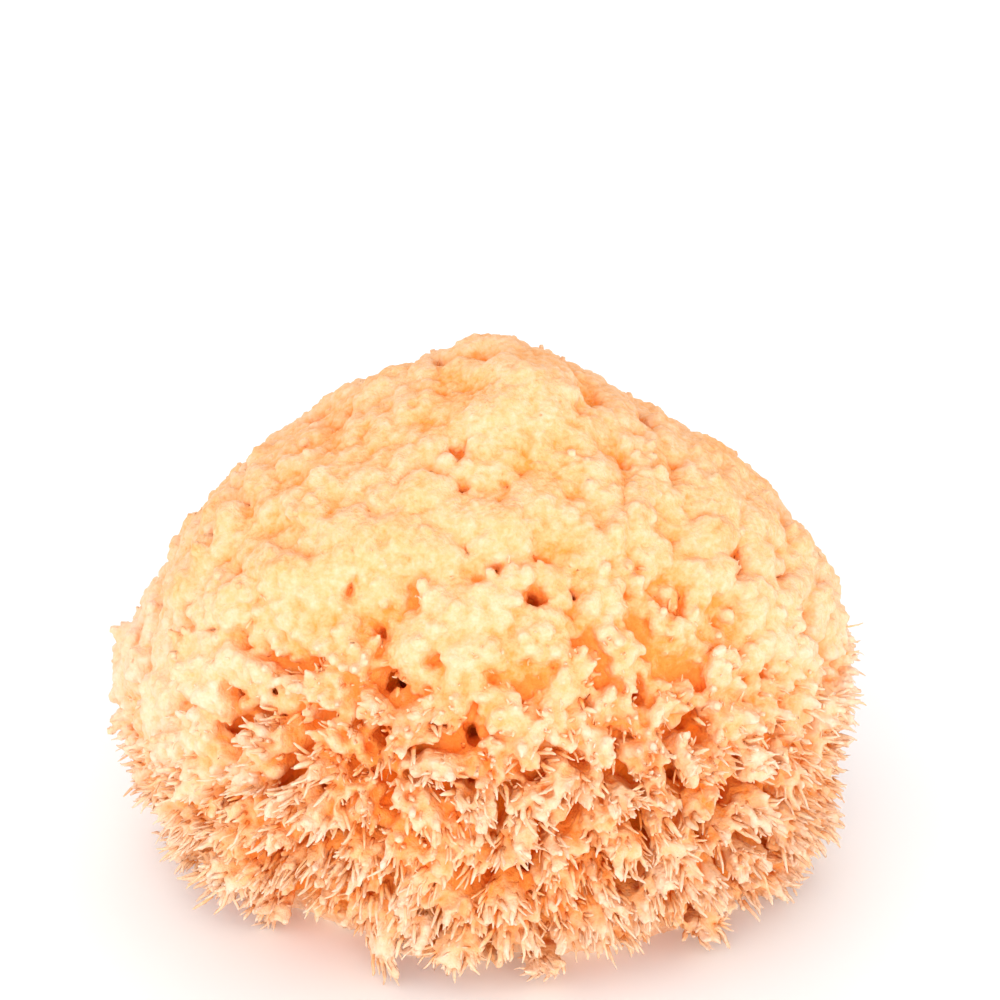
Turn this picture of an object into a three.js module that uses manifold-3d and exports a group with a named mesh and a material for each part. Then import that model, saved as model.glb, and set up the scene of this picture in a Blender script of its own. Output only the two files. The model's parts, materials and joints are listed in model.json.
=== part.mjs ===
// A sea wool sponge: one grown piece, a peaked dome of radiating tufts, cut flat where it was taken from the
// rock. Millimetres, +Z up. The cut face stands on z = 0, the broad front looks along -Y, and the origin lies
// on the cut under the middle of the outline.
import * as THREE from "three";
import { mergeVertices } from "three/addons/utils/BufferGeometryUtils.js";
import Module from "manifold-3d";

const wasm = await Module();
wasm.setup();

// Driving dimensions, measured over the tuft tips.
const WIDTH = 150; // left to right
const DEPTH = 136; // front to back
const GIRTH_HEIGHT = 38; // the widest level, above the cut
const CROWN_RISE = 75; // from the widest level up to the peak
const BELLY_DROP = 72; // how far the underside would reach below the widest level if it weren't cut
const CROWN_POWER = 1.5; // 2 is a round dome, less is more peaked
const BELLY_POWER = 2;
const PEAK_LEAN = 7; // the peak stands this far right of the middle

const FACETS_PER_EDGE = 17; // how finely the dome's faces are divided

// Tuft heads: rounded pads with furrows between them.
const TUFT_COUNT = 420;
const TUFT_SCATTER = 0.55; // how far a tuft strays from even spacing, as a share of it
const FURROW_DEPTH = 4.5;
const FURROW_HALF_WIDTH = 2.6;

// Broad swellings and hollows: [azimuth, elevation, rise in mm, reach in degrees]. Azimuth 0 faces the front
// (-Y), 90 the right-hand side (+X); elevation is seen from the middle of the widest level.
const SWELLINGS = [
  [-64, 44, 6.5, 22],
  [-82, 14, 1, 20],
  [-30, 72, -2, 20],
  [78, 36, 4, 18],
  [-30, 84, 4.5, 14],
  [90, 72, -2, 14],
  [92, 10, 3.5, 18],
  [72, -20, 5, 16],
  [40, -34, 1.5, 14],
  [-96, -12, 3.5, 18],
  [-60, -30, 0.5, 12],
  [-34, -32, -5, 18],
  [0, 12, 2, 26],
  [180, 30, 3, 34],
  [140, 56, -3, 24],
  [-140, 44, 2.5, 26],
  [-168, -8, -2, 24],
];

// Oscula, the large round outlets: [azimuth, elevation, mouth diameter, depth]. They aim at the middle of the
// sponge.
const OSCULA = [
  [-25, 36, 5, 18],
  [-20, 27, 8, 26],
  [-20, 17, 7.5, 24],
  [-2, 18, 6, 26],
  [-2, 10, 5, 20],
  [-16, 4, 5.5, 20],
  [13, 43, 7.5, 22],
  [23, 43, 6, 20],
  [3, 49, 5, 16],
  [32, 22, 6.5, 20],
  [43, 14, 8, 22],
  [26, 1, 6, 20],
  [40, 3, 6.5, 22],
  [-8, 64, 6, 18],
  [110, 30, 7, 22],
  [150, 48, 8, 26],
  [170, 14, 6.5, 22],
  [-150, 34, 7.5, 24],
  [-118, 12, 6.5, 20],
  [-95, 46, 6, 20],
];
const OSCULUM_SIDES = 10;
// The tunnels' shape: [share of the depth, share of the mouth's radius] from the floor out to the surface.
const TUNNEL_PROFILE = [
  [1, 0.35],
  [0.6, 0.8],
  [0.2, 1],
  [0, 1.35],
];
const MOUTH_OVERSHOOT = 14; // how far the cutting shape stands out of the sponge

// Canals that open in the cut face: [x, y, diameter, depth].
const CUT_CANALS = [
  [-30, 14, 7, 16],
  [-12, -32, 6, 14],
  [26, -22, 7.5, 18],
  [34, 20, 5.5, 14],
  [2, 36, 6.5, 16],
  [-40, -18, 5, 12],
];

const GOLDEN_ANGLE = Math.PI * (3 - Math.sqrt(5));

// The unit vector at an azimuth and elevation in degrees.
function aim(azimuth, elevation) {
  const a = THREE.MathUtils.degToRad(azimuth);
  const e = THREE.MathUtils.degToRad(elevation);
  return new THREE.Vector3(Math.sin(a) * Math.cos(e), -Math.cos(a) * Math.cos(e), Math.sin(e));
}

// A repeatable number from 0 to 1 for each whole n.
function scatter(n) {
  const s = Math.sin(n * 127.1 + 311.7) * 43758.5453;
  return s - Math.floor(s);
}

// Distance from the middle of the widest level to the plain dome along a unit vector.
function domeRadius(d) {
  const power = d.z > 0 ? CROWN_POWER : BELLY_POWER;
  const reach = d.z > 0 ? CROWN_RISE : BELLY_DROP;
  const around = Math.hypot(d.x / (WIDTH / 2), d.y / (DEPTH / 2));
  return (around ** power + (Math.abs(d.z) / reach) ** power) ** (-1 / power);
}

// How far the broad swellings lift the dome along a unit vector.
function swelling(d) {
  let rise = 0;
  for (const [azimuth, elevation, height, reach] of SWELLINGS) {
    const off = THREE.MathUtils.radToDeg(d.angleTo(aim(azimuth, elevation)));
    rise += height * Math.exp(-((off / reach) ** 2));
  }
  return rise;
}

// How far right a point this high above the widest level leans with the peak.
function leanAt(height) {
  return PEAK_LEAN * Math.max(0, height / CROWN_RISE) ** 2;
}

// The middles of the tuft heads, spread evenly over the ball of directions and then strayed a little.
function tuftAims() {
  const spacing = Math.sqrt((4 * Math.PI) / TUFT_COUNT);
  const aims = [];
  for (let i = 0; i < TUFT_COUNT; i++) {
    const z = 1 - (2 * i + 1) / TUFT_COUNT;
    const ring = Math.sqrt(1 - z * z);
    const stray = new THREE.Vector3(scatter(3 * i), scatter(3 * i + 1), scatter(3 * i + 2))
      .subScalar(0.5)
      .multiplyScalar(spacing * TUFT_SCATTER);
    const at = new THREE.Vector3(ring * Math.cos(i * GOLDEN_ANGLE), ring * Math.sin(i * GOLDEN_ANGLE), z);
    aims.push(at.add(stray).normalize());
  }
  return aims;
}

// How deep the furrow between the two nearest tuft heads is along a unit vector at a given radius.
function furrow(d, radius, aims) {
  let nearest = Infinity;
  let second = Infinity;
  for (const a of aims) {
    const off = d.distanceTo(a);
    if (off < nearest) {
      second = nearest;
      nearest = off;
    } else if (off < second) {
      second = off;
    }
  }
  const fromMiddle = (second - nearest) * radius;
  return FURROW_DEPTH * Math.exp(-((fromMiddle / FURROW_HALF_WIDTH) ** 2));
}

// A closed three.js geometry as a manifold-3d solid.
function solidOf(geometry) {
  geometry.deleteAttribute("normal");
  geometry.deleteAttribute("uv");
  const merged = mergeVertices(geometry, 1e-4);
  return new wasm.Manifold(
    new wasm.Mesh({
      numProp: 3,
      vertProperties: merged.attributes.position.array,
      triVerts: new Uint32Array(merged.index.array),
    }),
  );
}

// A manifold-3d solid as a three.js geometry.
function geometryOf(solid) {
  const mesh = solid.getMesh();
  const geometry = new THREE.BufferGeometry();
  geometry.setAttribute("position", new THREE.BufferAttribute(new Float32Array(mesh.vertProperties), 3));
  geometry.setIndex(new THREE.BufferAttribute(new Uint32Array(mesh.triVerts), 1));
  return geometry;
}

// The uncut sponge: a finely divided ball drawn out to the dome, its swellings and its tuft heads.
function tuftedBall() {
  const ball = new THREE.IcosahedronGeometry(1, FACETS_PER_EDGE);
  const places = ball.getAttribute("position");
  const aims = tuftAims();
  const d = new THREE.Vector3();
  for (let i = 0; i < places.count; i++) {
    d.fromBufferAttribute(places, i).normalize();
    const dome = domeRadius(d) + swelling(d);
    const at = d.clone().multiplyScalar(dome - furrow(d, dome, aims));
    places.setXYZ(i, at.x + leanAt(at.z), at.y, at.z + GIRTH_HEIGHT);
  }
  return solidOf(ball);
}

// A tapering tunnel along +Y with its mouth at y = 0 and its floor at y = -depth, to cut out of the sponge.
function tunnel(mouth, depth) {
  const wall = TUNNEL_PROFILE.map(([down, across]) => new THREE.Vector2((across * mouth) / 2, -down * depth));
  const rim = wall[wall.length - 1].x;
  const floorMiddle = new THREE.Vector2(0, -depth);
  const outerEnd = [new THREE.Vector2(rim, MOUTH_OVERSHOOT), new THREE.Vector2(0, MOUTH_OVERSHOOT)];
  return new THREE.LatheGeometry([floorMiddle, ...wall, ...outerEnd], OSCULUM_SIDES);
}

// The tunnel of one osculum, from the dome's surface inwards.
function osculum([azimuth, elevation, mouth, depth]) {
  const d = aim(azimuth, elevation);
  const at = d.clone().multiplyScalar(domeRadius(d) + swelling(d) - FURROW_DEPTH / 2);
  const turn = new THREE.Quaternion().setFromUnitVectors(new THREE.Vector3(0, 1, 0), d);
  const turned = tunnel(mouth, depth).applyQuaternion(turn);
  return solidOf(turned.translate(at.x + leanAt(at.z), at.y, at.z + GIRTH_HEIGHT));
}

// The tunnel of one canal that opens downwards in the cut face.
function cutCanal([x, y, mouth, depth]) {
  return solidOf(tunnel(mouth, depth).rotateX(-Math.PI / 2).translate(x, y, 0));
}

// Everything below the cut.
function rockSide() {
  const slab = new THREE.BoxGeometry(2 * WIDTH, 2 * DEPTH, BELLY_DROP);
  return solidOf(slab.translate(0, 0, -BELLY_DROP / 2));
}

// The whole sponge, with the middle of its outline over the origin.
function spongeGeometry() {
  let solid = tuftedBall().subtract(rockSide());
  for (const row of OSCULA) {
    solid = solid.subtract(osculum(row));
  }
  for (const row of CUT_CANALS) {
    solid = solid.subtract(cutCanal(row));
  }
  const geometry = geometryOf(solid);
  geometry.computeBoundingBox();
  const middle = geometry.boundingBox.getCenter(new THREE.Vector3());
  return geometry.translate(-middle.x, -middle.y, 0);
}

const fibre = new THREE.MeshStandardMaterial({ color: 0xf6c08a, roughness: 0.95, metalness: 0 });
const sponge = new THREE.Mesh(spongeGeometry(), fibre);
sponge.name = "sponge";

const part = new THREE.Group();
part.add(sponge);
export default part;
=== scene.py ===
import json
import math

import bpy
import numpy as np
from bpy.props import FloatProperty, FloatVectorProperty, IntProperty, PointerProperty
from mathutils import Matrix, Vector

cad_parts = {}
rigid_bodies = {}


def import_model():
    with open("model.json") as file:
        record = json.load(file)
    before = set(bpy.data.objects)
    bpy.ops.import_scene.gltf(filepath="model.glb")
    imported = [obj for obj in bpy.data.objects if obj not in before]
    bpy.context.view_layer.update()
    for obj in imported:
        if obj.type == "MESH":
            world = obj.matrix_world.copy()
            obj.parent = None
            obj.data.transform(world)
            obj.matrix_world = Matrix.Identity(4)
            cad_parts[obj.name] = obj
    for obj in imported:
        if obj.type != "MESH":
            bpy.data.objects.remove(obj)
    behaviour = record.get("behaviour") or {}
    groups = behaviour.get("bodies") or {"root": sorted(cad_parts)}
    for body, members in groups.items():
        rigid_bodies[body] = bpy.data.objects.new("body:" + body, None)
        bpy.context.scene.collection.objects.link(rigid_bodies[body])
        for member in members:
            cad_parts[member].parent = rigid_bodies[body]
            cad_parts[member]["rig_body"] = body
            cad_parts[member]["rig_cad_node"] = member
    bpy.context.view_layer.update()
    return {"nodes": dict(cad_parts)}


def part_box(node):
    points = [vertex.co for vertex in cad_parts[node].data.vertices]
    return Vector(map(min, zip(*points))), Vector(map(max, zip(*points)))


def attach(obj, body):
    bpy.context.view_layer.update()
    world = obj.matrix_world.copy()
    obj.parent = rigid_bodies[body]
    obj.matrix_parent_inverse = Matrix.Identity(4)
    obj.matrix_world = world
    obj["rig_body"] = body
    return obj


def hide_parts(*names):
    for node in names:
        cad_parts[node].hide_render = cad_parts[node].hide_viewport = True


bl_info = {
    "name": "Wool sea sponge",
    "version": (1, 0, 0),
    "blender": (4, 5, 0),
    "location": "3D View > Sidebar > Sponge",
    "description": "Grows a wool sea sponge, tuft by tuft, inside its fixed outline",
    "category": "Add Mesh",
}

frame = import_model()
LOW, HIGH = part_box("sponge")

# Heights, in metres over the floor. The sponge is a hem of loose, drooping tufts that turns into a felted
# crown.
CUT = LOW.z
GIRTH = CUT + 0.038
HEM_TOP = CUT + 0.040
CROWN_FOOT = CUT + 0.088
PEAK_FOOT = CUT + 0.092
PEAK = CUT + 0.108
LEAST_ROOT_HEIGHT = CUT + 0.0022
RIM_TOP = CUT + 0.009
CORE_RISE = (CUT + 0.025, CUT + 0.080)  # where the core's depth changes from the hem's to the crown's
FOOT_RISE = (CUT + 0.0015, CUT + 0.010)  # where the core's foot is drawn down through the cut
FOOT_DROP = 0.004
FELT_RISE = (CUT + 0.040, CUT + 0.096)  # where the felt grows smooth
CROWN_DARKENING_RISE = (CUT + 0.040, CUT + 0.085)  # where the colour grows a little darker towards the crown
MIDDLE = Vector((0, 0, GIRTH))
# The felt hangs lower at the sides: how far out it starts to, and its drop for each metre past that, left and
# right.
FELTED_SIDE = 0.036
LEFT_DROP = 1.0
RIGHT_DROP = 0.6

# Oscula, the large outlets: azimuth and elevation in degrees, mouth and depth in metres. Azimuth 0 faces -Y
# and 90 faces +X; both are seen from the middle of the widest level.
OSCULA = [
    (-25, 36, 0.0050, 0.018),
    (-20, 27, 0.0080, 0.026),
    (-20, 17, 0.0075, 0.024),
    (-2, 18, 0.0060, 0.026),
    (-2, 10, 0.0050, 0.020),
    (-16, 4, 0.0055, 0.020),
    (13, 43, 0.0075, 0.022),
    (23, 43, 0.0060, 0.020),
    (3, 49, 0.0050, 0.016),
    (32, 22, 0.0065, 0.020),
    (43, 14, 0.0080, 0.022),
    (26, 1, 0.0060, 0.020),
    (40, 3, 0.0065, 0.022),
    (-8, 64, 0.0060, 0.018),
    (110, 30, 0.0070, 0.022),
    (150, 48, 0.0080, 0.026),
    (170, 14, 0.0065, 0.022),
    (-150, 34, 0.0075, 0.024),
    (-118, 12, 0.0065, 0.020),
    (-95, 46, 0.0060, 0.020),
]
UPPER_ELEVATION = 40  # outlets above this bend away, so less of their depth is straight and open
STRAIGHT_SHARE = 0.56
UPPER_STRAIGHT_SHARE = 0.30
BARE_MOUTH_SHARE = 0.5  # how much of a mouth's width no tuft grows on
OPEN_MOUTH_SHARE = 0.85  # how wide a mouth stays open where the fibre closes in on it
PLUG_RADII = (0.72, 0.2)  # a tunnel's radius outside the surface and at its end, as shares of its mouth
PLUG_LUMPS = (0.003, 0.004)  # how broad and how high the lumps of a tunnel's wall are
PLUG_DETAIL = 0.0008
ENVELOPE_DETAIL = 0.003

# Canals that open in the cut face: x, y, width and depth in metres.
CUT_CANALS = [
    (-0.030, 0.014, 0.0070, 0.016),
    (-0.012, -0.032, 0.0060, 0.014),
    (0.026, -0.022, 0.0075, 0.018),
    (0.034, 0.020, 0.0055, 0.014),
    (0.002, 0.036, 0.0065, 0.016),
    (-0.040, -0.018, 0.0050, 0.012),
]

# How each kind of strand grows. A pair is the value at the hem and the value at the crown. Strands is how
# many a tuft has. Start and end are shares of the way from the tuft's root to its head, and splay how far
# the strand leans out past that, as a share of its place in the tuft. First and reach are the shares of the
# strand that are made. Longer strands than longest are left out. Lowest is the least height of a strand's
# ends over the cut.
RIBS = {
    "strands": (18, 18),
    "start": (0.0, 0.0),
    "end": (0.72, 0.90),
    "thickness": (0.00115, 0.0020),
    "unevenness": 0.10,
    "lowest": 0.0,
}
UNDERGROWTH = {
    "width": (0.0030, 0.0040),
    "strands": (10, 9),
    "start": (0.0, 0.0),
    "end": (0.62, 0.80),
    "thickness": (0.0009, 0.0014),
    "unevenness": 0.30,
    "lowest": 0.0,
}
LOBES = {
    "strands": (22, 40),
    "start": (0.50, 0.65),
    "end": (0.99, 0.95),
    "splay": (0.50, 0.30),
    "thickness": (0.00074, 0.0011),
    "unevenness": 0.35,
    "longest": 0.0115,
    "lowest": 0.0004,
}
SPURS = {
    "strands": (12, 5),
    "start": (0.40, 0.55),
    "end": (0.76, 0.80),
    "splay": (0.75, 0.60),
    "thickness": (0.00060, 0.0008),
    "unevenness": 0.35,
    "inner ring": 0.6,
    "longest": 0.0115,
    "lowest": 0.0004,
}
LOBE_FINGERS = {
    **LOBES,
    "strands": (27, 0),
    "first": 0.50,
    "reach": (1.02, 0.82),
    "thickness": (0.00040, 0.00026),
    "stray": 0.0019,
    "longest": 0.0055,
    "lowest": 0.0010,
}
SPUR_FINGERS = {
    **SPURS,
    "strands": (9, 0),
    "first": 0.50,
    "reach": (1.06, 0.90),
    "thickness": (0.00034, 0.00026),
    "stray": 0.0022,
    "longest": 0.0055,
    "lowest": 0.0010,
}
PAIRED = ("length", "width", "strands", "start", "end", "reach", "thickness", "splay")

DENSITY = 80000.0  # tufts for each square metre, before their spacing thins them out
UNDERSIDE = -0.75  # a face that looks down more than this is the cut, where no tuft grows
MOUTH_GAP = 0.0003  # how close to a mouth's bare disc a tuft may start
HEM_DROOP = 0.25
CROWN_DROOP = 0.32
TUFT_SIZES = (0.7, 1.25)
STRAND_SIZES = (0.75, 1.3)
HEAD_NARROWNESS = 0.55  # a head's narrow way, as a share of its broad way
HEAD_DOMING = 0.16  # how far a head's rim lies under its middle, as a share of the tuft's length
HEAD_UNEVENNESS = (-0.10, 0.16)
CROWN_UNEVENNESS_SHARE = 0.4
CROWN_RAGGEDNESS_SHARE = 0.5  # how much strands' lengths vary at the crown, as a share of the hem's
ROOT_STRAY_SHARE = 0.25  # how far a strand's start strays, as a share of its end's stray
ROOT_NARROWNESS = 0.45  # a tuft's breadth at its root, as a share of its head's
WANDER = 0.0090  # how far the whole growth bends, slowly
WANDER_SCALE = 45.0
WIGGLE = 0.0020  # how far each strand bends, quickly
WIGGLE_SCALE = 260.0
LIE_DOWN = 0.0008  # how far under its least height a bent strand may reach
# strands pale towards their tips and darken towards their roots; the darker roots are partly painted shade
TIP_PALING_AND_ROOT_SHADE = 0.12
UNDER_SEED_STEP = 5  # the undergrowth is scattered apart from the tufts

# The felted skin: how often and how much it is soothed, then its lumps and grains as (scale, height), and how
# far the crown's felt is raised.
SOOTHING = 9
SOOTHED_SHARE = 0.9
LUMPS = (420.0, 0.0019)
GRAINS = (900.0, 0.0009)
FELT_LIFT = 0.0007
CREST_BLUR = 8  # how wide the surroundings are that a crest is measured against

# The fibre's tone, from 0 at a pale tip to 1 at the bottom of an outlet. It deepens with depth under the
# outline: partly the fibre's richer inner colour, partly painted shade in the gaps and outlets.
DEEPEST = 0.022
TONE_RANGE = (0.12, 1.12)
PATCHES = (160.0, 0.005)
MOTTLES = (900.0, 0.35)
# how much darker and more orange the colour grows towards the crown
CROWN_DARKENING = 0.13
# painted highlight and shade: a place that stands out of its surroundings is paled, a crease is darkened
CREST_HIGHLIGHT_AND_CREASE_SHADE = 130.0
SKIN_SCALE = 1500.0

QUARTERS = {
    "sponge_front_left": (-1, -1),
    "sponge_front_right": (1, -1),
    "sponge_back_left": (-1, 1),
    "sponge_back_right": (1, 1),
}
HALVES = {"left": -1, "right": 1}
BLOCK = 0.3  # the side of the cubes that the quarters are cut with
QUARTER_SHARES = (0.1, 0.4)  # the least and most of the body's faces that a quarter can have

VIEW_ELEVATION = math.radians(25)
VIEW_DISTANCE = 0.56
VIEW_AIM = Vector((0.0032, 0, CUT + 0.0789))
VIEW_LENS = 101.1
STAGE_AIM = Vector((0, 0, CUT + 0.05))
KEY_PLACE = Vector((-0.45, -0.8, 0.95))
SOFT_LIGHT_SIZE = 0.8
WORLD_LIGHT = 0.80
FLOOR_SIZE = 6.0
# The broad soft lights: name, place and power in watts.
SOFT_LIGHTS = [
    ("front", (0.1, -0.95, 0.18), 6.8),
    ("left", (-0.95, -0.30, 0.28), 2.8),
    ("right", (0.95, -0.30, 0.28), 2.5),
    ("back", (-0.10, 0.95, 0.26), 3.5),
]


# ---------------------------------------------------------------- sizes and colours that a user would change


class SpongeSizes(bpy.types.PropertyGroup):
    """The growth's own sizes; the outline is fixed by the frame."""

    spacing: FloatProperty(
        name="Tuft spacing", description="Least distance between two tufts' middles", default=0.0080,
        min=0.004, unit="LENGTH")
    under_spacing: FloatProperty(
        name="Undergrowth spacing", description="Least distance between two low tufts' middles",
        default=0.0056, min=0.004, unit="LENGTH")
    hem_length: FloatProperty(
        name="Hem tuft length", description="From root to tip, low on the sponge", default=0.0170,
        min=0.005, unit="LENGTH")
    crown_length: FloatProperty(
        name="Crown tuft length", description="From root to tip, near the peak", default=0.0110,
        min=0.005, unit="LENGTH")
    hem_width: FloatProperty(
        name="Hem tuft width", description="Half the breadth of a tuft's head, low on the sponge",
        default=0.0044, min=0.001, unit="LENGTH")
    crown_width: FloatProperty(
        name="Crown tuft width", description="Half the breadth of a tuft's head, near the peak",
        default=0.0074, min=0.001, unit="LENGTH")
    core_depth: FloatProperty(
        name="Core depth", description="How far the solid core lies under the outline, low on the sponge",
        default=0.0145, min=0.0, unit="LENGTH")
    crown_core_depth: FloatProperty(
        name="Crown core depth", description="How far the solid core lies under the outline, near the peak",
        default=0.0050, min=0.0, unit="LENGTH")
    fuse_size: FloatProperty(
        name="Fusing size", description="Detail kept where strands grow together", default=0.00055,
        min=0.0004, unit="LENGTH")
    kept_share: FloatProperty(
        name="Kept faces", description="Share of the fused faces that is kept", default=0.50, min=0.05,
        max=1.0, subtype="FACTOR")
    seed: IntProperty(name="Seed", description="Another number grows another sponge", default=3, min=0)


class SpongeColours(bpy.types.PropertyGroup):
    """The fibre's colours, from the tips down to the bottom of the gaps. The darker ones are partly the
    fibre's richer inner colour and partly painted shade in the gaps and outlets.
    """

    # the tip colour is also the painted highlight where the crests are paled
    tip: FloatVectorProperty(
        name="Tips", description="The palest, worn ends of the fibre", subtype="COLOR", min=0, max=1,
        default=(0.95, 0.68, 0.51))
    surface: FloatVectorProperty(
        name="Surface", description="The open surface", subtype="COLOR", min=0, max=1,
        default=(0.95, 0.60, 0.37))
    flank: FloatVectorProperty(
        name="Flanks", description="The tufts' flanks", subtype="COLOR", min=0, max=1,
        default=(0.95, 0.49, 0.22))
    # the gap, root and depth colours are partly painted shade in the gaps and outlets
    gap: FloatVectorProperty(
        name="Gaps", description="Between the tufts", subtype="COLOR", min=0, max=1,
        default=(0.95, 0.33, 0.07))
    root: FloatVectorProperty(
        name="Roots", description="Where the tufts leave the core", subtype="COLOR", min=0, max=1,
        default=(0.95, 0.22, 0.015))
    depth: FloatVectorProperty(
        name="Depths", description="Deep inside the outlets", subtype="COLOR", min=0, max=1,
        default=(0.88, 0.16, 0.006))


# ---------------------------------------------------------------- short ways to work


def only(*pieces):
    """Selects these objects and no others, and makes the first one active."""
    for other in bpy.context.view_layer.objects:
        other.select_set(False)
    for piece in pieces:
        piece.select_set(True)
    bpy.context.view_layer.objects.active = pieces[0]


def added(name):
    """Names the object that an operator has just added or joined."""
    piece = bpy.context.active_object
    piece.name = piece.data.name = name
    return piece


def copied(piece, name):
    """A copy of a piece, with its own mesh."""
    only(piece)
    bpy.ops.object.duplicate()
    return added(name)


def discard(*pieces):
    """Deletes objects that only helped to make others."""
    for piece in pieces:
        bpy.data.objects.remove(piece)


def finish_modifier(piece, kind, **settings):
    """Adds a modifier and applies it."""
    only(piece)
    bpy.ops.object.modifier_add(type=kind)
    modifier = piece.modifiers[-1]
    for key, value in settings.items():
        setattr(modifier, key, value)
    bpy.ops.object.modifier_apply(modifier=modifier.name)


def cut_with(piece, block, operation="DIFFERENCE"):
    """Cuts a closed piece with a closed block, and deletes the block."""
    finish_modifier(piece, "BOOLEAN", object=block, operation=operation, solver="MANIFOLD")
    discard(block)


def run_nodes(piece, group, values):
    """Runs a geometry node group on a piece and keeps the result in its mesh."""
    only(piece)
    modifier = piece.modifiers.new(group.name, "NODES")
    modifier.node_group = group
    for item in group.interface.items_tree:
        if item.in_out == "INPUT" and item.name in values:
            modifier[item.identifier] = values[item.name]
    bpy.ops.object.modifier_apply(modifier=modifier.name)


def aim(azimuth, elevation):
    """The unit vector at an azimuth and elevation in degrees."""
    a, e = math.radians(azimuth), math.radians(elevation)
    return Vector((math.sin(a) * math.cos(e), -math.cos(a) * math.cos(e), math.sin(e)))


class Layout:
    """A node tree, with short ways to place nodes and feed their sockets."""

    def __init__(self, tree):
        self.tree = tree

    def socket(self, name, kind, value=None, way="INPUT"):
        made = self.tree.interface.new_socket(name=name, in_out=way, socket_type="NodeSocket" + kind)
        if value is not None:
            made.default_value = value

    def feed(self, socket, value):
        if isinstance(value, bpy.types.NodeSocket):
            self.tree.links.new(value, socket)
        else:
            socket.default_value = value

    def place(self, kind, feeds=None, **settings):
        """Places a node and returns it. Feeds are keyed by an input's name or number."""
        node = self.tree.nodes.new(kind)
        for key, value in settings.items():
            setattr(node, key, value)
        for key, value in (feeds or {}).items():
            self.feed(node.inputs[key], value)
        return node

    def active(self, sockets, name=None):
        """The sockets that a node uses with its present settings."""
        return [s for s in sockets if s.enabled and name in (None, s.name)]

    def number(self, operation, *values, clamp=False):
        node = self.place("ShaderNodeMath", operation=operation, use_clamp=clamp)
        for socket, value in zip(node.inputs, values):
            self.feed(socket, value)
        return node.outputs[0]

    def vector(self, operation, *values):
        node = self.place("ShaderNodeVectorMath", operation=operation)
        sockets = [node.inputs[0], node.inputs[3]] if operation == "SCALE" else node.inputs
        for socket, value in zip(sockets, values):
            self.feed(socket, value)
        return node.outputs["Value" if operation in ("DOT_PRODUCT", "LENGTH") else "Vector"]

    def total(self, first, *others):
        for other in others:
            first = self.vector("ADD", first, other)
        return first

    def joined(self, x, y, z):
        return self.place("ShaderNodeCombineXYZ", {0: x, 1: y, 2: z}).outputs[0]

    def parts(self, vector):
        return self.place("ShaderNodeSeparateXYZ", {0: vector}).outputs

    def spread(self, value, low, high, to_low=0.0, to_high=1.0, smooth=True):
        """The value moved from one range to another, and kept inside it."""
        kind = "SMOOTHSTEP" if smooth else "LINEAR"
        feeds = {"Value": value, "From Min": low, "From Max": high, "To Min": to_low, "To Max": to_high}
        return self.place("ShaderNodeMapRange", feeds, interpolation_type=kind).outputs["Result"]

    def blend(self, share, low, high):
        node = self.place("ShaderNodeMix", {0: share}, data_type="FLOAT")
        self.feed(node.inputs[2], low)
        self.feed(node.inputs[3], high)
        return node.outputs[0]

    def noise(self, where, scale, detail=2.0, out="Fac"):
        feeds = {"Vector": where, "Scale": scale, "Detail": detail}
        return self.place("ShaderNodeTexNoise", feeds).outputs[out]

    def ramp(self, value, stops):
        """A colour from a value, through (position, colour) stops."""
        node = self.place("ShaderNodeValToRGB", {0: value})
        elements = node.color_ramp.elements
        elements.remove(elements[-1])
        elements[0].position = stops[0][0]
        elements[0].color = (*stops[0][1], 1)
        for where, colour in stops[1:]:
            elements.new(where).color = (*colour, 1)
        return node.outputs[0]


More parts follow.
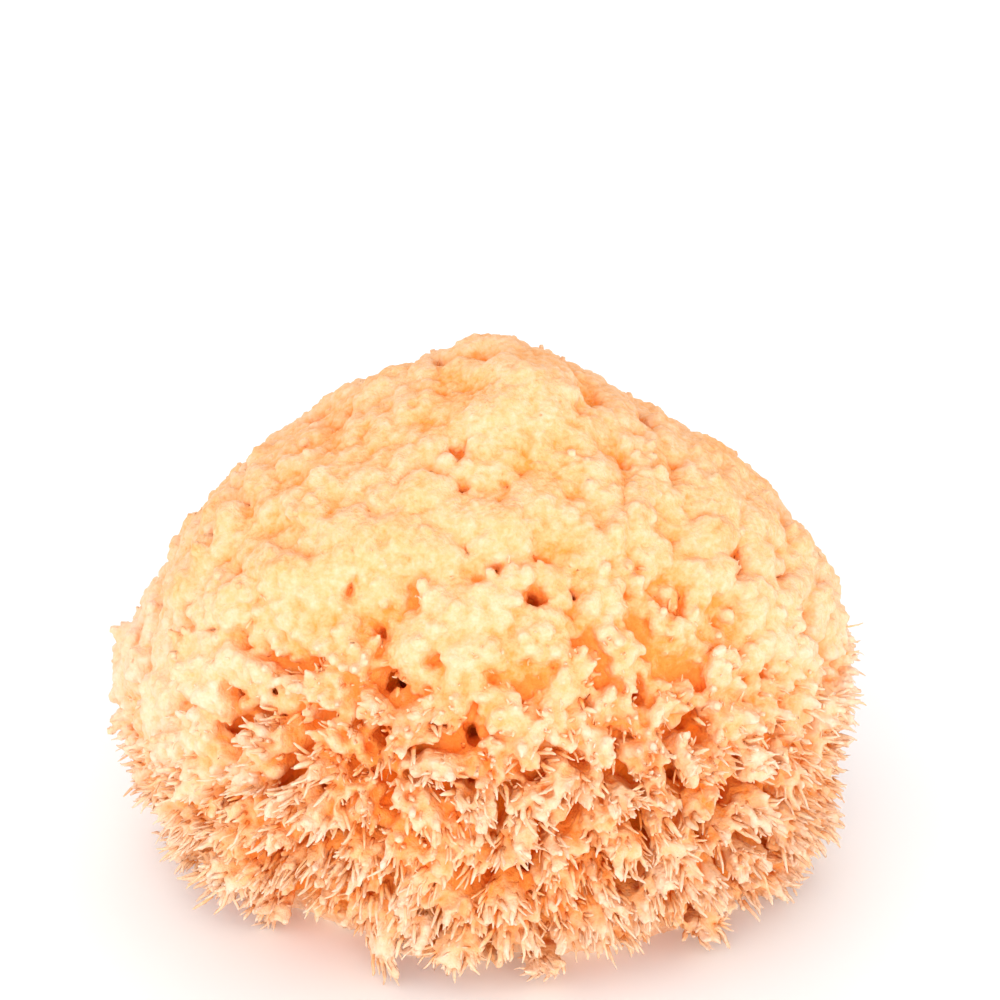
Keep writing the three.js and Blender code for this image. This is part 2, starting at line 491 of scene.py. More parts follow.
class GrowthLayout(Layout):
    """A geometry node group, with short ways to use attributes."""

    def __init__(self, name):
        super().__init__(bpy.data.node_groups.new(name, "GeometryNodeTree"))
        self.socket("Geometry", "Geometry")
        self.socket("Geometry", "Geometry", way="OUTPUT")
        self.given = self.place("NodeGroupInput").outputs
        self.where = self.place("GeometryNodeInputPosition").outputs[0]
        self.height = self.parts(self.where)["Z"]
        across = self.parts(self.where)["X"]
        left = self.spread(across, -1.0, -FELTED_SIDE, LEFT_DROP * (1.0 - FELTED_SIDE), 0.0, smooth=False)
        right = self.spread(across, FELTED_SIDE, 1.0, 0.0, RIGHT_DROP * (1.0 - FELTED_SIDE), smooth=False)
        self.felt_height = self.number("ADD", self.height, self.number("ADD", left, right))
        self.index = self.place("GeometryNodeInputIndex").outputs[0]

    def done(self, geometry):
        self.place("NodeGroupOutput", {"Geometry": geometry})
        return self.tree

    def chance(self, low, high, seed):
        """A random number for each point."""
        node = self.place("FunctionNodeRandomValue", data_type="FLOAT")
        for socket, value in zip(self.active(node.inputs), (low, high, self.index, seed)):
            self.feed(socket, value)
        return self.active(node.outputs)[0]

    def store(self, geometry, name, value, kind="FLOAT"):
        feeds = {"Geometry": geometry, "Name": name}
        node = self.place("GeometryNodeStoreNamedAttribute", feeds, data_type=kind)
        self.feed(self.active(node.inputs, "Value")[0], value)
        return node.outputs[0]

    def read(self, name, kind="FLOAT_VECTOR"):
        return self.place("GeometryNodeInputNamedAttribute", {"Name": name}, data_type=kind).outputs[0]

    def shape(self, name):
        """The geometry of the object that an input gives."""
        feeds = {"Object": self.given[name]}
        return self.place("GeometryNodeObjectInfo", feeds, transform_space="RELATIVE").outputs["Geometry"]

    def distance_to(self, name):
        """How far each point lies from the surface of the object that an input gives."""
        feeds = {"Geometry": self.shape(name)}
        return self.place("GeometryNodeProximity", feeds, target_element="FACES").outputs["Distance"]

    def inside(self, name):
        """Whether each point lies inside the closed object that an input gives."""
        shape = self.shape(name)
        near = self.place("GeometryNodeProximity", {"Geometry": shape}, target_element="FACES")
        facing = self.place("GeometryNodeSampleNearestSurface", {"Mesh": shape}, data_type="FLOAT_VECTOR")
        normal = self.place("GeometryNodeInputNormal").outputs[0]
        self.feed(self.active(facing.inputs, "Value")[0], normal)
        away = self.vector("SUBTRACT", self.where, near.outputs["Position"])
        out = self.vector("DOT_PRODUCT", away, self.active(facing.outputs, "Value")[0])
        return self.number("LESS_THAN", out, 0.0)

    def without(self, points, chosen):
        return self.place("GeometryNodeDeleteGeometry", {"Geometry": points, "Selection": chosen}).outputs[0]

    def moved(self, geometry, **place):
        feeds = {"Geometry": geometry}
        for key, value in place.items():
            feeds[key.capitalize()] = value
        return self.place("GeometryNodeSetPosition", feeds).outputs[0]

    def soothed(self, iterations):
        """Each point's place, averaged with its neighbours'."""
        node = self.place("GeometryNodeBlurAttribute", {"Iterations": iterations}, data_type="FLOAT_VECTOR")
        self.feed(self.active(node.inputs, "Value")[0], self.where)
        return self.active(node.outputs)[0]


# ---------------------------------------------------------------- how tufts and strands grow


def place_tufts(lay):
    """Points over the outline, one for each tuft, with its way of growth, size and broad direction."""
    given = lay.given
    scatter = lay.place("GeometryNodeDistributePointsOnFaces", distribute_method="POISSON")
    lay.feed(scatter.inputs["Mesh"], given["Geometry"])
    lay.feed(scatter.inputs["Distance Min"], given["spacing"])
    lay.feed(scatter.inputs["Density Max"], DENSITY)
    lay.feed(scatter.inputs["Seed"], given["seed"])
    points = lay.store(scatter.outputs["Points"], "out", scatter.outputs["Normal"], "FLOAT_VECTOR")

    out = lay.read("out")
    too_low = lay.number("LESS_THAN", lay.height, LEAST_ROOT_HEIGHT)
    under = lay.number("LESS_THAN", lay.parts(out)["Z"], UNDERSIDE)
    in_mouth = lay.number("LESS_THAN", lay.distance_to("mouths"), MOUTH_GAP)
    crown = lay.spread(lay.felt_height, HEM_TOP, CROWN_FOOT)
    peak = lay.spread(lay.height, PEAK_FOOT, PEAK)
    droop = lay.blend(peak, lay.blend(crown, HEM_DROOP, CROWN_DROOP), 0.0)
    growth = lay.vector("NORMALIZE", lay.vector("ADD", out, lay.vector("SCALE", (0, 0, -1), droop)))
    sideways = lay.joined(lay.chance(-1.0, 1.0, 13), lay.chance(-1.0, 1.0, 14), lay.chance(-1.0, 1.0, 15))

    points = lay.without(points, lay.number("MAXIMUM", lay.number("MAXIMUM", too_low, under), in_mouth))
    points = lay.store(points, "growth", growth, "FLOAT_VECTOR")
    points = lay.store(points, "size", lay.chance(*TUFT_SIZES, 11))
    points = lay.store(points, "crown", crown)
    broad = lay.vector("NORMALIZE", lay.vector("CROSS_PRODUCT", lay.read("growth"), sideways))
    return lay.store(points, "broad", broad, "FLOAT_VECTOR")


def lay_strands(lay, points):
    """Splits each tuft's point into its strands, and stores where each strand starts and reaches to."""
    given = lay.given
    crown = lay.read("crown", "FLOAT")

    def paired(name):
        return lay.blend(crown, given["hem " + name], given["crown " + name])

    amount = lay.blend(lay.number("POWER", crown, 2.0), given["hem strands"], given["crown strands"])
    feeds = {"Geometry": points, "Amount": amount}
    points = lay.place("GeometryNodeDuplicateElements", feeds, domain="POINT").outputs["Geometry"]

    # where the strand stands in its tuft, whose head is broad one way and narrow the other
    growth = lay.read("growth")
    broad = lay.read("broad")
    size = lay.read("size", "FLOAT")
    turn = lay.chance(0.0, 2 * math.pi, 21)
    ring = lay.number("SQRT", lay.chance(given["inner ring"], 1.0, 22))
    radius = lay.number("MULTIPLY", lay.number("MULTIPLY", paired("width"), size), ring)
    across = lay.number("MULTIPLY", lay.number("COSINE", turn), radius)
    along = lay.number("MULTIPLY", lay.number("SINE", turn), lay.number("MULTIPLY", radius, HEAD_NARROWNESS))
    narrow = lay.vector("CROSS_PRODUCT", growth, broad)
    offset = lay.vector("ADD", lay.vector("SCALE", broad, across), lay.vector("SCALE", narrow, along))

    # from the tuft's shared root to this strand's own place in a slightly domed head
    length = lay.number("MULTIPLY", paired("length"), size)
    doming = lay.number("MULTIPLY", lay.number("MULTIPLY", ring, ring), HEAD_DOMING)
    calmer = lay.blend(crown, 1.0, CROWN_UNEVENNESS_SHARE)
    uneven = lay.number("MULTIPLY", lay.chance(*HEAD_UNEVENNESS, 23), calmer)
    sunk = lay.number("MULTIPLY", length, lay.number("ADD", doming, uneven))
    inwards = lay.vector("SCALE", growth, lay.number("MULTIPLY", length, -1.0))
    root = lay.total(lay.where, inwards, lay.vector("SCALE", offset, ROOT_NARROWNESS))
    head = lay.total(lay.where, offset, lay.vector("SCALE", growth, lay.number("MULTIPLY", sunk, -1.0)))
    way = lay.vector("SUBTRACT", head, root)

    # the made part of the strand
    start = lay.vector("ADD", root, lay.vector("SCALE", way, paired("start")))
    unevenness = lay.number("MULTIPLY", given["unevenness"], lay.blend(crown, 1.0, CROWN_RAGGEDNESS_SHARE))
    least = lay.number("SUBTRACT", 1.0, unevenness)
    most = lay.number("ADD", 1.0, unevenness)
    made = lay.number("SUBTRACT", paired("end"), paired("start"))
    span = lay.number("MULTIPLY", made, lay.chance(least, most, 26))
    reach = lay.vector("ADD", lay.vector("SCALE", way, span), lay.vector("SCALE", offset, paired("splay")))
    stray = [
        lay.joined(*(lay.chance(-0.5, 0.5, seed + step) for step in range(3)))
        for seed in (31, 35)
    ]
    end_stray = lay.vector("SCALE", stray[0], given["stray"])
    start_stray = lay.vector("SCALE", stray[1], lay.number("MULTIPLY", given["stray"], ROOT_STRAY_SHARE))
    end = lay.total(start, lay.vector("SCALE", reach, paired("reach")), end_stray)
    start = lay.total(start, lay.vector("SCALE", reach, given["first"]), start_stray)
    lowest = lay.joined(-1.0, -1.0, lay.number("ADD", given["lowest"], CUT))
    start = lay.vector("MAXIMUM", start, lowest)
    end = lay.vector("MAXIMUM", end, lowest)

    points = lay.store(points, "reach", lay.vector("SUBTRACT", end, start), "FLOAT_VECTOR")
    thick = lay.number("MULTIPLY", paired("thickness"), lay.chance(*STRAND_SIZES, 25))
    points = lay.store(points, "thick", thick)
    points = lay.moved(points, position=start)
    too_long = lay.number("GREATER_THAN", lay.vector("LENGTH", lay.read("reach")), given["longest"])
    inside_half = lay.number("MULTIPLY", lay.parts(lay.where)["X"], given["half"])
    other_half = lay.number("LESS_THAN", inside_half, 0.0)
    points = lay.without(points, lay.number("MAXIMUM", too_long, other_half))
    return lay.without(points, lay.inside("plugs"))


def strand_group():
    """Strands of many tufts. A tuft is a bunch of strands that fan out from a narrow root to a broad head."""
    lay = GrowthLayout("grow strands")
    lay.socket("mouths", "Object")
    lay.socket("plugs", "Object")
    lay.socket("strand", "Object")
    for name in PAIRED:
        value = 1.0 if name == "reach" else 0.0
        lay.socket("hem " + name, "Float", value)
        lay.socket("crown " + name, "Float", value)
    for name, value in (
        ("spacing", 0.008),
        ("first", 0.0),
        ("unevenness", 0.1),
        ("inner ring", 0.02),
        ("stray", 0.0),
        ("longest", 1.0),
        ("lowest", 0.0),
        ("half", 0.0),
    ):
        lay.socket(name, "Float", value)
    lay.socket("seed", "Int", 1)

    points = lay_strands(lay, place_tufts(lay))
    reach = lay.read("reach")
    thick = lay.read("thick", "FLOAT")
    upright = lay.place("FunctionNodeAlignRotationToVector", {"Vector": reach}, axis="Z").outputs[0]
    feeds = {"Axis": (0, 0, 1), "Angle": lay.chance(0.0, 2 * math.pi, 24)}
    spin = lay.place("FunctionNodeAxisAngleToRotation", feeds).outputs[0]
    feeds = {"Rotation": upright, "Rotate By": spin}
    turned = lay.place("FunctionNodeRotateRotation", feeds, rotation_space="LOCAL").outputs[0]
    stretch = lay.joined(thick, thick, lay.vector("LENGTH", reach))
    # a strand is palest at its tip and darker towards its root, where the darker colour is partly painted
    # shade
    paling = lay.spread(lay.height, 0.0, 1.0, TIP_PALING_AND_ROOT_SHADE, -TIP_PALING_AND_ROOT_SHADE, smooth=False)
    strand = lay.store(lay.shape("strand"), "root", paling)
    feeds = {"Points": points, "Instance": strand, "Rotation": turned, "Scale": stretch}
    grown = lay.place("GeometryNodeInstanceOnPoints", feeds).outputs[0]
    grown = lay.place("GeometryNodeRealizeInstances", {"Geometry": grown}).outputs[0]

    # bends by place alone, so that all kinds of strand bend together
    wander = lay.vector("SUBTRACT", lay.noise(lay.where, WANDER_SCALE, 1.0, out="Color"), (0.5, 0.5, 0.5))
    wiggle = lay.vector("SUBTRACT", lay.noise(lay.where, WIGGLE_SCALE, 1.0, out="Color"), (0.5, 0.5, 0.5))
    bend = lay.vector("ADD", lay.vector("SCALE", wander, WANDER), lay.vector("SCALE", wiggle, WIGGLE))
    grown = lay.moved(grown, offset=bend)
    # a strand lies down where it meets the floor
    least_height = lay.number("ADD", lay.given["lowest"], CUT - LIE_DOWN)
    kept_up = lay.vector("MAXIMUM", lay.where, lay.joined(-1.0, -1.0, least_height))
    grown = lay.moved(grown, position=kept_up)
    for name in ("out", "growth", "broad", "reach", "size", "thick", "crown"):
        grown = lay.place("GeometryNodeRemoveAttribute", {"Geometry": grown, "Name": name}).outputs[0]
    return lay.done(grown)


def sink_group():
    """Draws the outline in to the core's surface, and its foot down through the cut."""
    lay = GrowthLayout("sink")
    lay.socket("hem depth", "Float")
    lay.socket("crown depth", "Float")
    normal = lay.parts(lay.place("GeometryNodeInputNormal").outputs[0])
    sideways = lay.joined(normal["X"], normal["Y"], lay.number("MAXIMUM", normal["Z"], 0.0))
    share = lay.spread(lay.height, *CORE_RISE)
    depth = lay.blend(share, lay.given["hem depth"], lay.given["crown depth"])
    inwards = lay.vector("SCALE", sideways, lay.number("MULTIPLY", depth, -1.0))
    down = lay.vector("SCALE", (0, 0, 1), lay.spread(lay.height, *FOOT_RISE, -FOOT_DROP, 0.0))
    return lay.done(lay.moved(lay.given["Geometry"], offset=lay.vector("ADD", inwards, down)))


def felt_group():
    """Felts the surface: soothes the crown, then raises and sinks small places everywhere."""
    lay = GrowthLayout("felt")
    share = lay.spread(lay.felt_height, *FELT_RISE)
    calmed = lay.vector("SUBTRACT", lay.soothed(SOOTHING), lay.where)
    drawn = lay.vector("SCALE", calmed, lay.number("MULTIPLY", share, SOOTHED_SHARE))
    lumps = lay.number("SUBTRACT", lay.noise(lay.where, LUMPS[0]), 0.5)
    grains = lay.number("SUBTRACT", lay.noise(lay.where, GRAINS[0], 1.0), 0.5)
    rough = [lay.number("MULTIPLY", lumps, LUMPS[1]), lay.number("MULTIPLY", grains, GRAINS[1])]
    lift = lay.number("ADD", lay.number("ADD", *rough), lay.number("MULTIPLY", share, FELT_LIFT))
    normal = lay.place("GeometryNodeInputNormal").outputs[0]
    geometry = lay.moved(lay.given["Geometry"], offset=drawn)
    return lay.done(lay.moved(geometry, offset=lay.vector("SCALE", normal, lift)))


def measure_group():
    """Stores how deep each place lies under the outline, and how far it stands out of its surroundings. The
    material paints shade in the deep places and creases, and highlight on the crests, from these.
    """
    lay = GrowthLayout("measure growth")
    lay.socket("envelope", "Object")
    lay.socket("blur", "Int", 0)
    normal = lay.place("GeometryNodeInputNormal").outputs[0]
    away = lay.vector("SUBTRACT", lay.where, lay.soothed(lay.given["blur"]))
    geometry = lay.store(lay.given["Geometry"], "depth", lay.distance_to("envelope"))
    return lay.done(lay.store(geometry, "crest", lay.vector("DOT_PRODUCT", away, normal)))


def carry_group():
    """Carries the whole growth's measures over to a piece that was cut out of it."""
    lay = GrowthLayout("carry measures")
    lay.socket("whole", "Object")
    geometry = lay.given["Geometry"]
    for name in ("depth", "crest"):
        feeds = {"Mesh": lay.shape("whole"), "Sample Position": lay.where}
        nearest = lay.place("GeometryNodeSampleNearestSurface", feeds, data_type="FLOAT")
        lay.feed(lay.active(nearest.inputs, "Value")[0], lay.read(name, "FLOAT"))
        geometry = lay.store(geometry, name, lay.active(nearest.outputs, "Value")[0])
    return lay.done(geometry)


# ---------------------------------------------------------------- shapes that the growth is made with


def model_envelope():
    """The outline that the tips reach: the fixed solid with its furrows and tunnels bridged."""
    solid = frame["nodes"]["sponge"]
    envelope = copied(solid, "envelope")
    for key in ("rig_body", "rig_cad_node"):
        del envelope[key]
    envelope.parent = None
    envelope.data.materials.clear()
    bpy.ops.object.mode_set(mode="EDIT")
    bpy.ops.mesh.select_all(action="SELECT")
    bpy.ops.mesh.remove_doubles(threshold=1e-6)
    bpy.ops.mesh.convex_hull()
    bpy.ops.object.mode_set(mode="OBJECT")
    finish_modifier(envelope, "REMESH", mode="VOXEL", voxel_size=ENVELOPE_DETAIL)
    finish_modifier(envelope, "SHRINKWRAP", target=solid, wrap_method="NEAREST_SURFACEPOINT")
    over_rim = envelope.vertex_groups.new(name="over rim")
    over_rim.add([v.index for v in envelope.data.vertices if v.co.z > RIM_TOP], 1.0, "REPLACE")
    finish_modifier(envelope, "SMOOTH", factor=0.6, iterations=12, vertex_group=over_rim.name)
    envelope.vertex_groups.clear()
    return envelope


def mouth_place(envelope, azimuth, elevation):
    """Where an outlet meets the outline."""
    way = aim(azimuth, elevation)
    return envelope.ray_cast(MIDDLE + way * 0.2, -way)[1]


def model_mouths(envelope):
    """A disc over each osculum, lying on the outline, where no tuft grows."""
    discs = []
    for azimuth, elevation, mouth, depth in OSCULA:
        bpy.ops.mesh.primitive_circle_add(
            vertices=10, radius=mouth * BARE_MOUTH_SHARE / 2, fill_type="NGON",
            location=mouth_place(envelope, azimuth, elevation),
            rotation=aim(azimuth, elevation).to_track_quat("Z", "Y").to_euler())
        discs.append(bpy.context.active_object)
    only(*discs)
    bpy.ops.object.join()
    mouths = added("mouths")
    bpy.ops.object.transform_apply()
    return mouths


def model_strand(name, sides, rings, lean):
    """One strand, a unit long along +Z, drawn out ring by ring to its tip. Rings are (height, radius)."""
    first_height, radius = rings[0]
    bpy.ops.mesh.primitive_circle_add(
        vertices=sides, radius=radius, fill_type="NGON", location=(0, 0, first_height))
    strand = added(name)
    bpy.ops.object.transform_apply()
    bpy.ops.object.mode_set(mode="EDIT")
    bpy.ops.mesh.select_all(action="SELECT")
    for (low, thick), (high, thin) in zip(rings, rings[1:]):
        step = (lean * (high ** 2 - low ** 2), 0, high - low)
        bpy.ops.mesh.extrude_region_move(TRANSFORM_OT_translate={"value": step})
        bpy.ops.transform.resize(value=(thin / thick, thin / thick, 1))
    bpy.ops.mesh.select_all(action="SELECT")
    bpy.ops.mesh.normals_make_consistent(inside=False)
    bpy.ops.object.mode_set(mode="OBJECT")
    bpy.ops.object.shade_smooth()
    return strand


def model_rib():
    """A stout, straight strand that is fused into the body."""
    return model_strand("rib", 6, [(0.0, 0.7), (0.3, 0.8), (0.75, 1.0), (0.95, 0.8), (1.0, 0.45)], 0.0)


def model_lobe():
    """A tapering strand whose lower part is fused into the body."""
    return model_strand("lobe", 6, [(0.0, 0.9), (0.35, 1.0), (0.7, 0.8), (1.0, 0.35)], 0.6)


def model_finger():
    """A fine, bent strand that stands free of the body."""
    return model_strand("finger", 4, [(0.0, 1.0), (0.4, 1.05), (0.78, 0.8), (1.0, 0.35)], 2.4)


def model_plug(place, way, mouth, depth):
    """A tapering plug, from outside the surface inwards, to cut a tunnel with."""
    overshoot = 0.008
    spare = 0.004
    length = depth + overshoot + spare
    bpy.ops.mesh.primitive_cone_add(
        vertices=14, radius1=mouth * PLUG_RADII[0], radius2=mouth * PLUG_RADII[1], depth=length,
        location=place - way * (length / 2 - overshoot), rotation=(-way).to_track_quat("Z", "Y").to_euler())
    plug = added("plug")
    bpy.ops.object.transform_apply()
    return plug


def model_block(side_x, side_y):
    """A cube that stands on the cut and fills one quarter of the space over it."""
    bpy.ops.mesh.primitive_cube_add(
        size=BLOCK, location=(side_x * BLOCK / 2, side_y * BLOCK / 2, CUT + BLOCK / 2))
    block = added("block")
    bpy.ops.object.transform_apply()
    return block


def bunch(envelope, group, name, kind, guides, sizes, **more):
    """The outline's tufts as one mesh of strands of one kind."""
    values = {
        "spacing": sizes.spacing,
        "seed": sizes.seed,
        "hem length": sizes.hem_length,
        "crown length": sizes.crown_length,
        "hem width": sizes.hem_width,
        "crown width": sizes.crown_width,
    }
    for key, value in kind.items():
        if key in PAIRED:
            values["hem " + key], values["crown " + key] = map(float, value)
        else:
            values[key] = value
    piece = copied(envelope, name)
    run_nodes(piece, group, {**values, **guides, **more})
    return piece


def model_plugs(envelope, width_share):
    """All the outlets and canals as one lumpy shape, to cut them with."""
    plugs = []
    for azimuth, elevation, mouth, depth in OSCULA:
        straight = UPPER_STRAIGHT_SHARE if elevation > UPPER_ELEVATION else STRAIGHT_SHARE
        place = mouth_place(envelope, azimuth, elevation)
        plugs.append(model_plug(place, aim(azimuth, elevation), mouth * width_share, depth * straight))
    for x, y, mouth, depth in CUT_CANALS:
        plugs.append(model_plug(Vector((x, y, CUT)), Vector((0, 0, -1)), mouth * width_share, depth))
    only(*plugs)
    bpy.ops.object.join()
    whole = added("plugs")
    finish_modifier(whole, "REMESH", mode="VOXEL", voxel_size=PLUG_DETAIL)
    lumps = bpy.data.textures.new("lumps", "CLOUDS")
    lumps.noise_scale = PLUG_LUMPS[0]
    finish_modifier(
        whole, "DISPLACE", texture=lumps, texture_coords="LOCAL", strength=PLUG_LUMPS[1], mid_level=0.5)
    bpy.data.textures.remove(lumps)
    return whole


def model_core(envelope, sizes):
    """The solid middle of the sponge, with its outlets and the canals of the cut face."""
    core = copied(envelope, "core")
    run_nodes(core, sink_group(), {"hem depth": sizes.core_depth, "crown depth": sizes.crown_core_depth})
    cut_with(core, model_plugs(envelope, 1.0))
    return core


def drop_loose(piece):
    """Keeps only the growth that hangs together with the peak: no crumbs, and no bubbles inside."""
    places = np.empty(len(piece.data.vertices) * 3, dtype=np.float32)
    piece.data.vertices.foreach_get("co", places)
    peak = int(places[2::3].argmax())
    only(piece)
    bpy.ops.object.mode_set(mode="EDIT")
    bpy.ops.mesh.select_mode(type="VERT")
    bpy.ops.mesh.select_all(action="DESELECT")
    bpy.ops.object.mode_set(mode="OBJECT")
    piece.data.vertices[peak].select = True
    bpy.ops.object.mode_set(mode="EDIT")
    bpy.ops.mesh.select_linked()
    bpy.ops.mesh.select_all(action="INVERT")
    bpy.ops.mesh.delete(type="VERT")
    bpy.ops.object.mode_set(mode="OBJECT")


def sharpen_cut(piece):
    """Keeps the rim of each flat cut crisp, so that it doesn't shade the growth beside it."""
    mesh = piece.data
    count = len(mesh.polygons)
    centres = np.empty(count * 3, dtype=np.float32)
    normals = np.empty(count * 3, dtype=np.float32)
    mesh.polygons.foreach_get("center", centres)
    mesh.polygons.foreach_get("normal", normals)
    centres = centres.reshape(-1, 3) - (0, 0, CUT)
    normals = normals.reshape(-1, 3)
    flat = ((abs(centres) < 1e-6) & (abs(normals) > 0.999)).any(axis=1)
    only(piece)
    bpy.ops.object.mode_set(mode="EDIT")
    bpy.ops.mesh.select_mode(type="FACE")
    bpy.ops.mesh.select_all(action="DESELECT")
    bpy.ops.object.mode_set(mode="OBJECT")
    mesh.polygons.foreach_set("select", flat)
    bpy.ops.object.mode_set(mode="EDIT")
    bpy.ops.mesh.region_to_loop()
    bpy.ops.mesh.mark_sharp()
    bpy.ops.object.mode_set(mode="OBJECT")


# ---------------------------------------------------------------- material


def fibre_material(colours):
    """Sponge fibre: pale where it stands out, orange where it lies deep, with a felted skin. The paling is
    partly painted highlight, and the deep orange is partly the fibre's own colour and partly painted shade.
    """
    known = bpy.data.materials.get("sponge fibre")
    if known:
        return known
    material = bpy.data.materials.new("sponge fibre")
    material.use_nodes = True
    lay = Layout(material.node_tree)
    shader = material.node_tree.nodes["Principled BSDF"]
    where = lay.place("ShaderNodeTexCoord").outputs["Object"]
    depth = lay.place("ShaderNodeAttribute", attribute_name="depth").outputs["Fac"]
    crest = lay.place("ShaderNodeAttribute", attribute_name="crest").outputs["Fac"]
    # 'root' darkens a strand towards its root, partly as painted shade
    root = lay.place("ShaderNodeAttribute", attribute_name="root").outputs["Fac"]
    patchy = lay.number("SUBTRACT", lay.noise(where, PATCHES[0], 3.0), 0.5)
    patchy = lay.number("MULTIPLY", patchy, PATCHES[1])
    # darker with depth under the outline: partly the fibre's inner colour, partly painted shade
    tone = lay.spread(lay.number("ADD", depth, patchy), 0.0, DEEPEST, *TONE_RANGE, smooth=False)
    mottle = lay.number("SUBTRACT", lay.noise(where, MOTTLES[0]), 0.5)
    mottle = lay.number("MULTIPLY", mottle, MOTTLES[1])
    # a little darker towards the crown
    crown_darkening = lay.spread(lay.parts(where)["Z"], *CROWN_DARKENING_RISE, 0.0, CROWN_DARKENING)
    tone = lay.number("ADD", lay.number("ADD", tone, root), lay.number("ADD", mottle, crown_darkening))
    # painted highlight on the crests and painted shade in the creases
    tone = lay.number("SUBTRACT", tone, lay.number("MULTIPLY", crest, CREST_HIGHLIGHT_AND_CREASE_SHADE), clamp=True)
    colour = lay.ramp(tone, [
        (0.00, colours.tip),
        (0.15, colours.surface),
        (0.30, colours.flank),
        (0.45, colours.gap),
        (0.70, colours.root),
        (1.00, colours.depth),
    ])
    feeds = {"Height": lay.noise(where, SKIN_SCALE, 3.0), "Strength": 0.6, "Distance": 0.0007}
    skin = lay.place("ShaderNodeBump", feeds)
    lay.feed(shader.inputs["Base Color"], colour)
    lay.feed(shader.inputs["Normal"], skin.outputs[0])
    shader.inputs["Roughness"].default_value = 0.9
    shader.inputs["Specular IOR Level"].default_value = 0.06
    shader.inputs["Sheen Weight"].default_value = 0.02
    return material


def dress(piece, material):
    """Gives a finished piece its material and its place in the frame."""
    only(piece)
    bpy.ops.object.shade_smooth()
    piece.data.materials.clear()
    piece.data.materials.append(material)
    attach(piece, "root")


# ---------------------------------------------------------------- operators


class SPONGE_OT_grow_body(bpy.types.Operator):
    """Grow the fused fibre, core, ribs, lobes and spurs, and cut it flat below"""

    bl_idname = "sponge.grow_body"
    bl_label = "Grow Body"

    def execute(self, context):
        sizes = context.scene.sponge_sizes
        envelope = model_envelope()
        mouths = model_mouths(envelope)
        rib = model_rib()
        lobe = model_lobe()
        plugs = model_plugs(envelope, OPEN_MOUTH_SHARE)
        stout = {"mouths": mouths, "plugs": plugs, "strand": rib}
        tapered = {"mouths": mouths, "plugs": plugs, "strand": lobe}
        group = strand_group()
        under = {"spacing": sizes.under_spacing, "seed": sizes.seed + UNDER_SEED_STEP}
        strands = [
            bunch(envelope, group, "ribs", RIBS, stout, sizes),
            bunch(envelope, group, "lobes", LOBES, tapered, sizes),
            bunch(envelope, group, "spurs", SPURS, tapered, sizes),
            bunch(envelope, group, "undergrowth", UNDERGROWTH, stout, sizes, **under),
        ]
        only(model_core(envelope, sizes), *strands)
        bpy.ops.object.join()
        body = added("body")
        finish_modifier(body, "REMESH", mode="VOXEL", voxel_size=sizes.fuse_size)
        cut_with(body, plugs)
        finish_modifier(body, "REMESH", mode="VOXEL", voxel_size=sizes.fuse_size)
        drop_loose(body)
        finish_modifier(body, "SMOOTH", factor=0.5, iterations=2)
        run_nodes(body, felt_group(), {})
        finish_modifier(body, "DECIMATE", ratio=sizes.kept_share)
        if not body.data.polygons:
            raise RuntimeError("The growth came out empty: the fusing size is too large for the strands.")
        run_nodes(body, measure_group(), {"envelope": envelope, "blur": CREST_BLUR})
        material = fibre_material(context.scene.sponge_colours)
        carry = carry_group()
        for name, (side_x, side_y) in QUARTERS.items():
            quarter = copied(body, name)
            cut_with(quarter, model_block(side_x, side_y), "INTERSECT")
            share = len(quarter.data.polygons) / len(body.data.polygons)
            if not QUARTER_SHARES[0] < share < QUARTER_SHARES[1]:
                raise RuntimeError(f"{name} could not be cut out of the growth.")
            run_nodes(quarter, carry, {"whole": body})
            sharpen_cut(quarter)
            dress(quarter, material)
            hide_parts("sponge")
        discard(envelope, mouths, rib, lobe, body)
        return {"FINISHED"}


class SPONGE_OT_grow_fingers(bpy.types.Operator):
    """Grow the fine free fingers that fray the tufts' ends and flanks"""

    bl_idname = "sponge.grow_fingers"
    bl_label = "Grow Fingers"

    def execute(self, context):
        sizes = context.scene.sponge_sizes
        envelope = model_envelope()
        mouths = model_mouths(envelope)
        finger = model_finger()
        plugs = model_plugs(envelope, OPEN_MOUTH_SHARE)
        guides = {"mouths": mouths, "plugs": plugs, "strand": finger}
        group = strand_group()
        measure = measure_group()
        material = fibre_material(context.scene.sponge_colours)
        for half, side in HALVES.items():
            ends = bunch(envelope, group, "ends", LOBE_FINGERS, guides, sizes, half=float(side))
            flanks = bunch(envelope, group, "flanks", SPUR_FINGERS, guides, sizes, half=float(side))
            only(ends, flanks)
            bpy.ops.object.join()
            fingers = added("sponge_fingers_" + half)
            if not fingers.data.polygons:
                raise RuntimeError("No finger grew: the tuft spacing is too large for the sponge.")
            run_nodes(fingers, measure, {"envelope": envelope, "blur": 0})
            dress(fingers, material)
        discard(envelope, mouths, plugs, finger)
        return {"FINISHED"}


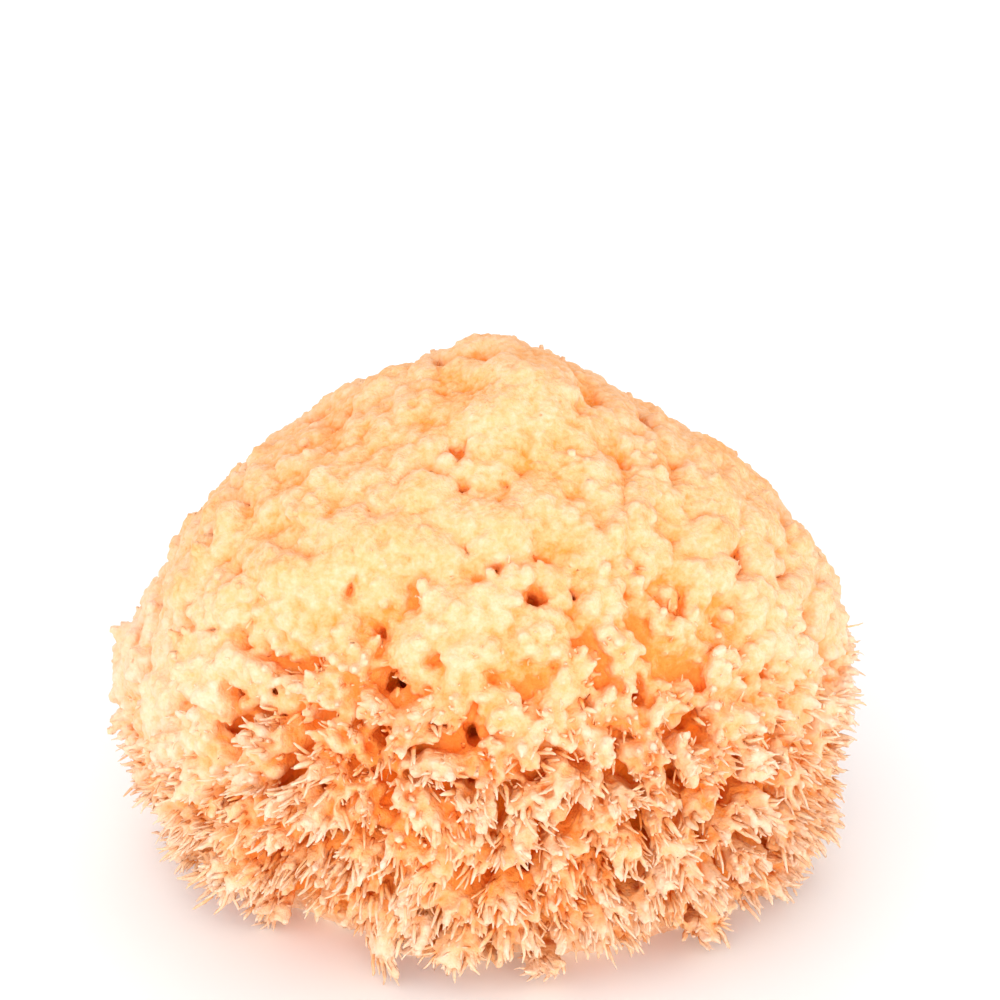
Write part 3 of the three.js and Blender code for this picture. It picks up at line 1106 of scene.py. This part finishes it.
class SPONGE_OT_set_stage(bpy.types.Operator):
    """Add the pale floor, the soft studio light and the camera"""

    bl_idname = "sponge.set_stage"
    bl_label = "Set Stage"

    def execute(self, context):
        bpy.ops.mesh.primitive_plane_add(size=FLOOR_SIZE, location=(0, 0, CUT))
        floor = added("floor")
        bpy.ops.object.transform_apply()
        paint = bpy.data.materials.new("pale floor")
        paint.use_nodes = True
        shader = paint.node_tree.nodes["Principled BSDF"]
        shader.inputs["Base Color"].default_value = (0.97, 0.97, 0.97, 1)
        shader.inputs["Roughness"].default_value = 0.8
        floor.data.materials.append(paint)

        world = bpy.data.worlds.new("studio")
        world.use_nodes = True
        world.node_tree.nodes["Background"].inputs["Color"].default_value = (1, 1, 1, 1)
        world.node_tree.nodes["Background"].inputs["Strength"].default_value = WORLD_LIGHT
        context.scene.world = world

        bpy.ops.object.light_add(type="SUN", location=KEY_PLACE)
        key = added("key")
        key.rotation_euler = (STAGE_AIM - key.location).to_track_quat("-Z", "Y").to_euler()
        key.data.energy = 0.5
        key.data.angle = math.radians(60)
        for name, place, energy in SOFT_LIGHTS:
            bpy.ops.object.light_add(type="AREA", location=place)
            soft = added(name)
            soft.rotation_euler = (STAGE_AIM - soft.location).to_track_quat("-Z", "Y").to_euler()
            soft.data.energy = energy
            soft.data.size = SOFT_LIGHT_SIZE

        ahead = Vector((0, math.cos(VIEW_ELEVATION), -math.sin(VIEW_ELEVATION)))
        bpy.ops.object.camera_add(location=VIEW_AIM - ahead * VIEW_DISTANCE)
        camera = added("camera")
        camera.rotation_euler = ahead.to_track_quat("-Z", "Y").to_euler()
        camera.data.lens = VIEW_LENS
        camera.data.clip_start = 0.01
        context.scene.camera = camera
        context.scene.view_settings.view_transform = "Standard"
        return {"FINISHED"}


class VIEW3D_PT_sponge(bpy.types.Panel):
    bl_label = "Wool Sea Sponge"
    bl_space_type = "VIEW_3D"
    bl_region_type = "UI"
    bl_category = "Sponge"

    def draw(self, context):
        for group in (context.scene.sponge_sizes, context.scene.sponge_colours):
            box = self.layout.box()
            for name in group.__annotations__:
                box.prop(group, name)
        for operator in OPERATORS:
            self.layout.operator(operator.bl_idname)


OPERATORS = (SPONGE_OT_grow_fingers, SPONGE_OT_grow_body, SPONGE_OT_set_stage)
CLASSES = (SpongeSizes, SpongeColours, *OPERATORS, VIEW3D_PT_sponge)


def register():
    for cls in CLASSES:
        bpy.utils.register_class(cls)
    bpy.types.Scene.sponge_sizes = PointerProperty(type=SpongeSizes)
    bpy.types.Scene.sponge_colours = PointerProperty(type=SpongeColours)


def unregister():
    del bpy.types.Scene.sponge_colours
    del bpy.types.Scene.sponge_sizes
    for cls in reversed(CLASSES):
        bpy.utils.unregister_class(cls)


def main():
    register()
    bpy.ops.sponge.grow_fingers()
    bpy.ops.sponge.grow_body()
    bpy.ops.sponge.set_stage()


if __name__ == "__main__":
    main()
